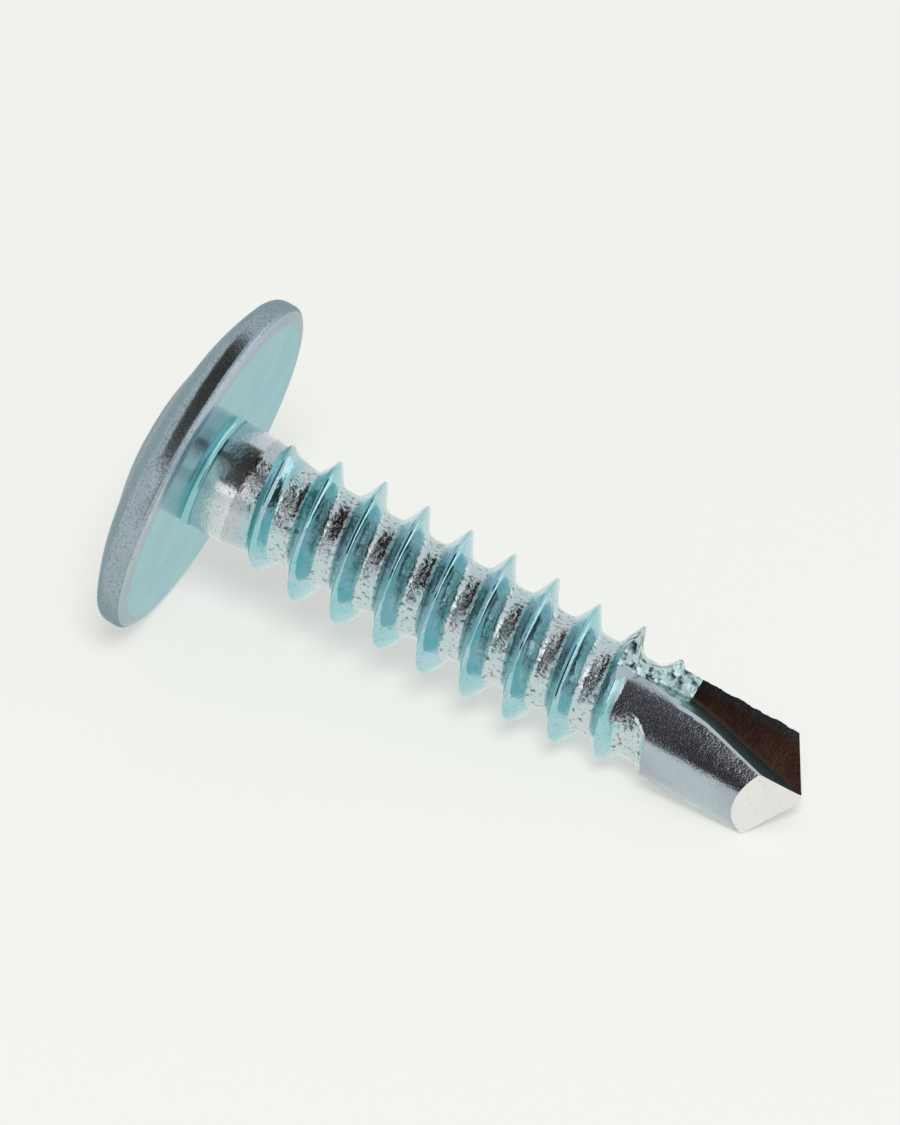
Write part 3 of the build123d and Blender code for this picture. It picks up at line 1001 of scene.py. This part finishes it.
@dataclass(frozen=True)
class ZincFinish:
    """Blue-passivated zinc plating on one kind of worked steel surface; some finishes also paint
    highlights and shade into their tints.

    The passivation is a thin clear film, so its tint drifts from teal to lavender with its
    thickness.  The grain is the orange peel that the blasted or rolled steel leaves in it.
    Its real grains are some 0.03 mm apart, about one point of a render that shows the whole
    screw, so it is drawn two to four times as coarse, and as high as it needs to show.
    """

    name: str
    tint: str
    drift: str                      # tint where the film is thicker
    stain_and_painted_shade: str                      # tint in the small dull spots; on some finishes they are painted shade
    edge_tint: str = "FFFFFF"       # tint of the mirror image at a grazing look
    roughness: float = 0.2
    matt: float = 0.3               # roughness of the dullest spots
    drift_size: float = 1.6         # mm between patches of one tint
    grain_size: float = 0.085       # mm between grains
    grain_height: float = 0.006     # mm from valley to top of a grain
    calm: tuple[float, float] | None = None     # radii between which the grain dies away
    calm_height: float = 0.0015     # mm from valley to top of a grain past them
    swell_size: float = 0.5         # mm between the shallow waves under the grain
    swell_height: float = 0.01
    stain_share: float = 0.34       # higher means more dull spots
    stain_size: float = 0.12        # mm between them
    border_size: float = 0.15       # mm between the bends of a band's border
    bands: tuple[Band, ...] = ()

    def material(self, placement: Placement) -> bpy.types.Material:
        """Makes the material, with its pattern laid out in the screw's own axes.

        Args:
            placement: Where those axes lie.

        Returns:
            The material.
        """
        made = new_material(self.name)
        tree = made.node_tree
        place = add_node(tree, "ShaderNodeTexCoord")
        back = placement.turned().transposed()
        own = add_node(tree, "ShaderNodeMapping", {
            "Location": -(back @ placement.origin) / MM,
            "Rotation": back.to_euler(),
            "Scale": (1 / MM, 1 / MM, 1 / MM)}, {"Vector": place.outputs["Object"]})
        spots = self._spots(tree, own)
        tint = self._tint(tree, own, spots)
        dull = add_node(tree, "ShaderNodeMapRange", {3: self.roughness, 4: self.matt},
                        {0: spots.outputs[0]})
        shader = add_node(tree, "ShaderNodeBsdfPrincipled", {
            "Metallic": 1.0, "Specular Tint": linear(self.edge_tint)}, {
            "Base Color": tint.outputs[2], "Roughness": dull.outputs[0],
            "Normal": self._relief(tree, own).outputs[0]})
        add_node(tree, "ShaderNodeOutputMaterial", links={"Surface": shader.outputs[0]})
        return made

    def _spots(self, tree: bpy.types.NodeTree, own: bpy.types.Node) -> bpy.types.Node:
        """Lays out the small dull spots.

        Args:
            tree: Node tree of the material.
            own: Node that gives a point in the screw's own axes, in millimetres.

        Returns:
            The node that is 1 in a spot and 0 outside it.
        """
        flecks = add_node(tree, "ShaderNodeTexNoise", {
            "Scale": 1 / self.stain_size, "Detail": 2.0}, {"Vector": own.outputs[0]})
        return add_node(tree, "ShaderNodeMapRange", {
            1: self.stain_share + 0.1, 2: self.stain_share - 0.1, 3: 0.0, 4: 1.0},
            {0: flecks.outputs[0]})

    def _tint(self, tree: bpy.types.NodeTree, own: bpy.types.Node,
              spots: bpy.types.Node) -> bpy.types.Node:
        """Mixes the film's colour.

        Args:
            tree: Node tree of the material.
            own: Node that gives a point in the screw's own axes.
            spots: Node that gives the dull spots.

        Returns:
            The node with the colour in its third output.
        """
        drift = add_node(tree, "ShaderNodeTexNoise", {
            "Scale": 1 / self.drift_size, "Detail": 2.0}, {"Vector": own.outputs[0]})
        film = add_node(tree, "ShaderNodeMapRange", {1: 0.38, 2: 0.62}, {0: drift.outputs[0]})
        tint = add_node(tree, "ShaderNodeMix", {
            "data_type": "RGBA", 6: linear(self.tint), 7: linear(self.drift)},
            {0: film.outputs[0]})
        for band in self.bands:
            share = self._band(tree, own, band)
            tint = add_node(tree, "ShaderNodeMix", {
                "data_type": "RGBA", 7: linear(band.tint)},
                {0: share.outputs[0], 6: tint.outputs[2]})
        return add_node(tree, "ShaderNodeMix", {
            "data_type": "RGBA", 7: linear(self.stain_and_painted_shade)},
            {0: spots.outputs[0], 6: tint.outputs[2]})

    def _measure(self, tree: bpy.types.NodeTree, own: bpy.types.Node,
                 along: Along) -> bpy.types.NodeSocket:
        """Measures a point in the screw's own axes.

        Args:
            tree: Node tree of the material.
            own: Node that gives the point.
            along: What is measured.

        Returns:
            The socket with the measure in millimetres.
        """
        if along is Along.HEIGHT:
            return add_node(tree, "ShaderNodeSeparateXYZ", links={0: own.outputs[0]}).outputs[2]
        flat = add_node(tree, "ShaderNodeVectorMath", {"operation": "MULTIPLY", 1: (1, 1, 0)},
                        {0: own.outputs[0]})
        return add_node(tree, "ShaderNodeVectorMath", {"operation": "LENGTH"},
                        {0: flat.outputs[0]}).outputs[1]

    def _band(self, tree: bpy.types.NodeTree, own: bpy.types.Node,
              band: Band) -> bpy.types.Node:
        """Works out how far a band's tint has come in.

        Args:
            tree: Node tree of the material.
            own: Node that gives a point in the screw's own axes.
            band: The band.

        Returns:
            The node that gives it, from 0 to 1.
        """
        border = add_node(tree, "ShaderNodeTexNoise", {
            "Scale": 1 / self.border_size, "Detail": 3.0}, {"Vector": own.outputs[0]})
        stray = add_node(tree, "ShaderNodeMath", {
            "operation": "MULTIPLY_ADD", 1: 2 * band.ragged, 2: -band.ragged},
            {0: border.outputs[0]})
        reach = add_node(tree, "ShaderNodeMath", {"operation": "ADD"},
                         {0: self._measure(tree, own, band.along), 1: stray.outputs[0]})
        return add_node(tree, "ShaderNodeMapRange", {1: band.start, 2: band.end},
                        {0: reach.outputs[0]})

    def _relief(self, tree: bpy.types.NodeTree, own: bpy.types.Node) -> bpy.types.Node:
        """Raises the shallow waves with the grain on top.

        Args:
            tree: Node tree of the material.
            own: Node that gives a point in the screw's own axes.

        Returns:
            The bump node.
        """
        swell, grain = (
            add_node(tree, "ShaderNodeTexNoise", {"Scale": 1 / size, "Detail": detail},
                     {"Vector": own.outputs[0]})
            for size, detail in ((self.swell_size, 2.0), (self.grain_size, 3.0)))
        waves = add_node(tree, "ShaderNodeBump", {
            "Strength": 1.0, "Distance": self.swell_height * MM}, {"Height": swell.outputs[0]})
        links = {"Height": grain.outputs[0], "Normal": waves.outputs[0]}
        if self.calm:
            fade = add_node(tree, "ShaderNodeMapRange", {
                1: self.calm[0], 2: self.calm[1], 3: self.grain_height * MM,
                4: self.calm_height * MM}, {0: self._measure(tree, own, Along.RADIUS)})
            links["Distance"] = fade.outputs[0]
        return add_node(tree, "ShaderNodeBump", {
            "Strength": 1.0, "Distance": self.grain_height * MM}, links)


FINISHES = {
    # Cold-forged in a blasted die: satin, slate blue going to lavender, finely mottled.
    Finish.FORGED: ZincFinish(
        "zinc_on_forged_head", "A3B6BB", "AEB6C8", "8D9EA5", edge_tint="BAC8CE",
        roughness=0.25, matt=0.34, drift_size=2.4, grain_size=0.1, grain_height=0.0062,
        stain_size=0.08, stain_share=0.42),
    # Pressed flat and touched by nothing since: the film is even, and clear teal.
    Finish.BEARING: ZincFinish(
        "zinc_under_the_head", "8EC5CC", "9DCDD0", "93C2C8", edge_tint="DDEAEF",
        roughness=0.16, matt=0.2, grain_size=0.12, grain_height=0.0012,
        swell_size=1.2, swell_height=0.003, stain_share=0.3),
    # Plain neck, untouched by the dies: near-colourless and bright as painted highlight, softly
    # dented.
    Finish.NECK: ZincFinish(
        "zinc_on_plain_neck_painted_highlight", "DCE2E4", "D2DCE0", "B2BEC4", roughness=0.18, matt=0.4,
        grain_size=0.09, grain_height=0.004, swell_height=0.012, stain_share=0.3),
    # Burnished by the rolling dies: glossy teal that mirrors the next flank.  Near the root
    # the grain is rough, and near the neck the tint turns grey, a painted highlight that keeps
    # the reflections there neutral white.
    Finish.ROLLED: ZincFinish(
        "zinc_on_rolled_thread_painted_highlight_at_neck", "9BD2D6", "B4D4E0", "8DBABE", roughness=0.12, matt=0.24,
        drift_size=0.9, grain_size=0.12, grain_height=0.022, calm=(1.5, 1.75),
        calm_height=0.003, swell_size=0.4, swell_height=0.016, bands=(
            # Grey band near the neck: painted highlight.
            Band(Along.HEIGHT, 2.1, 1.4, "C3C9CE", 0.3),)),
    # Squeezed up between the dies: pebbly, with a pale near-neutral tint that is painted
    # highlight and dark spots that are painted shade in the root, so that light and dark break
    # up into sparkles.
    Finish.ROOT: ZincFinish(
        "zinc_on_thread_root_painted_light_and_shade", "C2DADB", "CFD8DE", "4C5C5E", roughness=0.08, matt=0.09,
        drift_size=0.5, grain_size=0.13, grain_height=0.03, swell_size=0.4,
        swell_height=0.016, stain_share=0.35, stain_size=0.13),
    # Pinched smooth with the point: plain silver with a fine leathery grain.
    Finish.PINCHED: ZincFinish(
        "zinc_on_pinched_land", "B7C5CD", "B0B6C0", "A8B2BB", roughness=0.15, matt=0.2,
        grain_size=0.065, grain_height=0.0052, stain_share=0.32),
    # Torn metal: a near-white tint with near-black green spots, which are painted highlight and
    # painted shade of the crumpled facets.
    Finish.TORN: ZincFinish(
        "zinc_on_torn_run_out_painted_light_and_shade", "C2DCDC", "A9C4C8", "203C3D", roughness=0.1, matt=0.2,
        grain_size=0.12, grain_height=0.02, stain_share=0.44, stain_size=0.22),
    # Sheared face: dark brown, a painted dark reflection, and grey towards the outer edge.
    Finish.SHEARED: ZincFinish(
        "zinc_on_cutting_face_painted_dark_reflection", "47332B", "3B2B27", "2D211D", roughness=0.26, matt=0.36,
        grain_size=0.09, grain_height=0.004, bands=(
            Band(Along.RADIUS, 1.3, 1.45, "3B3C40", 0.12),)),
    # Inside of the flute: a dull dark green, painted shade of the deep hollow on the teal film.
    Finish.WALL: ZincFinish(
        "zinc_on_flute_wall_painted_shade", "5E8F8A", "6E9C98", "4E7B76", roughness=0.3, matt=0.42,
        grain_size=0.12, grain_height=0.004),
    # Roundings of rim and land: paler than what lies on both sides, a painted highlight.
    Finish.EDGE: ZincFinish(
        "zinc_on_rounded_edge_painted_highlight", "C0CCD0", "BEC6D3", "ACBABF", edge_tint="D2DCE0",
        roughness=0.19, matt=0.22, grain_size=0.12, grain_height=0.004),
    # Sheared off clean at the tip: almost white satin with a sandy grain.
    Finish.FACET: ZincFinish(
        "zinc_on_end_facet", "F0ECEC", "F2F0F0", "DCD7D9", roughness=0.26, matt=0.34,
        grain_size=0.12, grain_height=0.008, swell_height=0.006, stain_share=0.3),
}


# ---- The screw ------------------------------------------------------------------------------

@dataclass
class Screw:
    """The whole screw: one skin from the head's dome to the drill's tip."""

    placement: Placement
    thread: Thread = field(default_factory=Thread)
    head: Head = field(default_factory=Head)
    drill: DrillPoint = field(default_factory=DrillPoint)
    crease: float = 32.0            # edges sharper than this stay sharp, degrees

    def build(self) -> bpy.types.Object:
        """Builds the screw, dresses it and puts it in its place.

        Returns:
            The finished screw.
        """
        bm = self.thread.spin()
        self.thread.form(bm, self.drill.land)
        rim = open_ring(bm)
        middle = (self.thread.neck_from + self.thread.skin_to) / 2
        low = [edge for edge in rim if edge.verts[0].co.z < middle]
        high = [edge for edge in rim if edge.verts[0].co.z > middle]
        self.head.grow(bm, low)
        self.drill.grow(bm, high)
        bmesh.ops.recalc_face_normals(bm, faces=bm.faces)
        screw = new_object(bm, "screw_skin")
        self._dress(screw)
        for tool in (self.head.punch(), self.drill.flute(0), self.drill.flute(180),
                     self.drill.point_block()):
            combine(screw, tool, Cut.OUTSIDE)
        screw.data.transform(self.placement.matrix())
        screw.data.set_sharp_from_angle(angle=radians(self.crease))
        return screw

    def _dress(self, screw: bpy.types.Object) -> None:
        """Gives the screw its finishes, in the order of their indices."""
        for finish in Finish:
            screw.data.materials.append(FINISHES[finish].material(self.placement))


# ---- Light, floor and camera ----------------------------------------------------------------

@dataclass(frozen=True)
class Card:
    """Flat reflector or black card that only polished metal sees."""

    name: str
    centre: tuple[float, float, float]      # mm, in the row frame
    size: tuple[float, float]               # mm, across and along
    bearing: float                  # where its back faces, degrees from -Y towards +X
    lift: float                     # ... and how far above the horizon
    colour: str
    strength: float = 1.0
    roll: float = 0.0               # turn in its own plane, degrees

    def build(self) -> None:
        """Hangs the card in its place."""
        bearing, lift = radians(self.bearing), radians(self.lift)
        back = Vector((sin(bearing) * cos(lift), -cos(bearing) * cos(lift), sin(lift)))
        across = Vector((cos(bearing), sin(bearing), 0))
        across = Matrix.Rotation(radians(self.roll), 3, back) @ across
        turned = Matrix((across, back.cross(across), back)).transposed()
        bm = bmesh.new()
        bmesh.ops.create_grid(bm, x_segments=1, y_segments=1, size=0.5 * MM)
        bmesh.ops.scale(bm, vec=(*self.size, 1), verts=bm.verts)
        bmesh.ops.transform(bm, matrix=turned.to_4x4(), verts=bm.verts)
        bmesh.ops.translate(bm, vec=Vector(self.centre) * MM, verts=bm.verts)
        card = new_object(bm, self.name)
        made = new_material(self.name)
        glow = add_node(made.node_tree, "ShaderNodeEmission", {
            "Color": linear(self.colour), "Strength": self.strength})
        add_node(made.node_tree, "ShaderNodeOutputMaterial",
                 links={"Surface": glow.outputs[0]})
        card.data.materials.append(made)
        for sense in ("camera", "diffuse", "shadow", "transmission", "volume_scatter"):
            setattr(card, f"visible_{sense}", False)


CARDS = (
    # White on everything that leans towards the front.
    Card("key_softbox", (36.0, -167.0, 218.0), (299.0, 304.0), 49.0, 3.0, "FFF6F2", 1.5),
    # White on the end facets.
    Card("white_card_past_the_point", (70.0, 40.0, 14.0), (120.0, 36.0), 120.0, 0.0,
         "FFFFFF", 1.35),
    # The dark cores of the thread's roots and the dark patch on the neck.
    Card("black_strip_above", (-4.0, -10.0, 28.2), (9.0, 46.0), -13.5, 77.4, "1E1610",
         roll=7.0),
    # The dark band along the head's rim.
    Card("grey_card_above", (-12.0, -9.6, 39.6), (22.3, 74.0), 0.0, 90.0, "4A4138"),
    # The dark side of the drill's land.
    Card("black_flag_at_the_point", (6.6, -22.0, 18.0), (8.5, 74.0), -10.0, 32.0, "2E252A"),
    # Takes the glare off the lower flanks.
    Card("grey_flag_in_front", (-3.9, -35.4, 19.2), (11.0, 68.0), -19.0, 36.0, "C6C8CC"),
)


@dataclass
class Studio:
    """Floor, lamp, cards and camera round the screw."""

    placement: Placement
    aim_height: float = 8.5         # the camera aims near this height of the screw
    tilt: float = 9.6               # of its view from the screw's cross-section, degrees
    roll: float = 29.3              # of the screw's axis in the frame
    turn: float = 8.5               # round the axis to the side that faces the camera
    scale: float = 35.725           # points of the frame for each millimetre
    offset: tuple[float, float] = (24.25, 54.4)     # of the aim, in points
    distance: float = 414.0
    frame_height: float = 1125.0    # in points
    sensor: float = 36.0
    clip: tuple[float, float] = (0.01, 10.0)        # nearest and farthest seen, in metres
    floor_reach: float = 2.0        # from its middle to each side, in metres
    sky: float = 0.45               # brightness of the surrounding on the floor
    sky_in_metal: float = 0.82      # ... and as the metal sees it
    floor_glow: float = 0.55        # share of the floor's own white that the camera sees
    lamp_place: tuple[float, float, float] = (148.0, -318.0, 490.0)
    lamp_aim: tuple[float, float, float] = (0.0, 0.0, 3.0)
    lamp_size: float = 210.0
    lamp_power: float = 2.6

    def axes(self) -> tuple[Vector, Vector, Vector]:
        """Works out how the camera is turned.

        Returns:
            Its ways right, up and back in the row frame.
        """
        tilt, roll, turn = radians(self.tilt), radians(self.roll), radians(self.turn)
        near = Vector((cos(turn), sin(turn), 0))
        side = Vector((-sin(turn), cos(turn), 0))
        along = Vector((0, 0, 1))
        back = sin(tilt) * along + cos(tilt) * near
        seen = cos(tilt) * along - sin(tilt) * near
        right = cos(roll) * seen - sin(roll) * side
        up = -sin(roll) * seen - cos(roll) * side
        return tuple(self.placement.direction(way) for way in (right, up, back))

    def camera(self) -> None:
        """Places the camera and makes it the scene's own."""
        right, up, back = self.axes()
        aim = self.placement.point((0, 0, self.aim_height))
        aim -= right * (self.offset[0] / self.scale * MM)
        aim += up * (self.offset[1] / self.scale * MM)
        lens = bpy.data.cameras.new("camera")
        lens.sensor_width = self.sensor
        lens.lens = self.scale * self.distance * self.sensor / self.frame_height
        lens.clip_start, lens.clip_end = self.clip
        camera = bpy.data.objects.new("camera", lens)
        turned = Matrix((right, up, back)).transposed().to_4x4()
        camera.matrix_world = Matrix.Translation(aim + back * self.distance * MM) @ turned
        bpy.context.scene.collection.objects.link(camera)
        bpy.context.scene.camera = camera

    def floor(self) -> None:
        """Lays the pale floor under the screw."""
        bm = bmesh.new()
        bmesh.ops.create_grid(bm, x_segments=1, y_segments=1, size=self.floor_reach)
        ground = new_object(bm, "floor")
        # Matt paper that shows the shadow, mixed with its own white so that it stays pale.
        made = new_material("white_paper")
        tree = made.node_tree
        paper = add_node(tree, "ShaderNodeBsdfDiffuse", {"Color": linear(PAPER)})
        glow = add_node(tree, "ShaderNodeEmission", {"Color": linear(PAPER), "Strength": 1.0})
        path = add_node(tree, "ShaderNodeLightPath")
        share = add_node(tree, "ShaderNodeMath", {
            "operation": "MULTIPLY_ADD", 1: self.floor_glow}, {
            0: path.outputs["Is Camera Ray"], 2: path.outputs["Is Glossy Ray"]})
        seen = add_node(tree, "ShaderNodeMixShader", links={
            0: share.outputs[0], 1: paper.outputs[0], 2: glow.outputs[0]})
        add_node(tree, "ShaderNodeOutputMaterial", links={"Surface": seen.outputs[0]})
        ground.data.materials.append(made)

    def surrounding(self) -> None:
        """Lights the floor softly from all sides and gives the metal an even surrounding."""
        world = bpy.data.worlds.new("studio")
        bpy.context.scene.world = world
        world.use_nodes = True
        tree = world.node_tree
        tree.nodes.clear()
        path = add_node(tree, "ShaderNodeLightPath")
        level = add_node(tree, "ShaderNodeMapRange", {3: self.sky, 4: self.sky_in_metal},
                         {0: path.outputs["Is Glossy Ray"]})
        sky = add_node(tree, "ShaderNodeBackground", {"Color": linear("FBFCFD")},
                       {"Strength": level.outputs[0]})
        add_node(tree, "ShaderNodeOutputWorld", links={"Surface": sky.outputs[0]})

    def lamp(self) -> None:
        """Hangs the lamp that casts the floor's shadow, which the metal doesn't mirror."""
        lamp = bpy.data.lights.new("soft_lamp", "AREA")
        lamp.shape = "DISK"
        lamp.size = self.lamp_size * MM
        lamp.energy = self.lamp_power
        hung = bpy.data.objects.new("soft_lamp", lamp)
        hung.location = Vector(self.lamp_place) * MM
        way = Vector(self.lamp_place) - Vector(self.lamp_aim)
        hung.rotation_euler = way.to_track_quat("Z", "Y").to_euler()
        hung.visible_glossy = False
        bpy.context.scene.collection.objects.link(hung)

    def build(self) -> None:
        """Sets up the whole studio."""
        self.camera()
        self.floor()
        self.surrounding()
        self.lamp()
        for card in CARDS:
            card.build()
        bpy.context.scene.view_settings.view_transform = "Standard"


def main() -> None:
    """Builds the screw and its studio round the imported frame."""
    logging.basicConfig(level=logging.INFO)
    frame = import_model()
    placement = Placement.from_record(frame["record"], Head.height)
    skin = Screw(placement).build()
    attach(skin, "root")
    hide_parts("screw")
    LOG.info("screw skin: %d faces", len(skin.data.polygons))
    Studio(placement).build()
    LOG.info("studio: floor, lamp, camera and %d cards", len(CARDS))


if __name__ == "__main__":
    main()
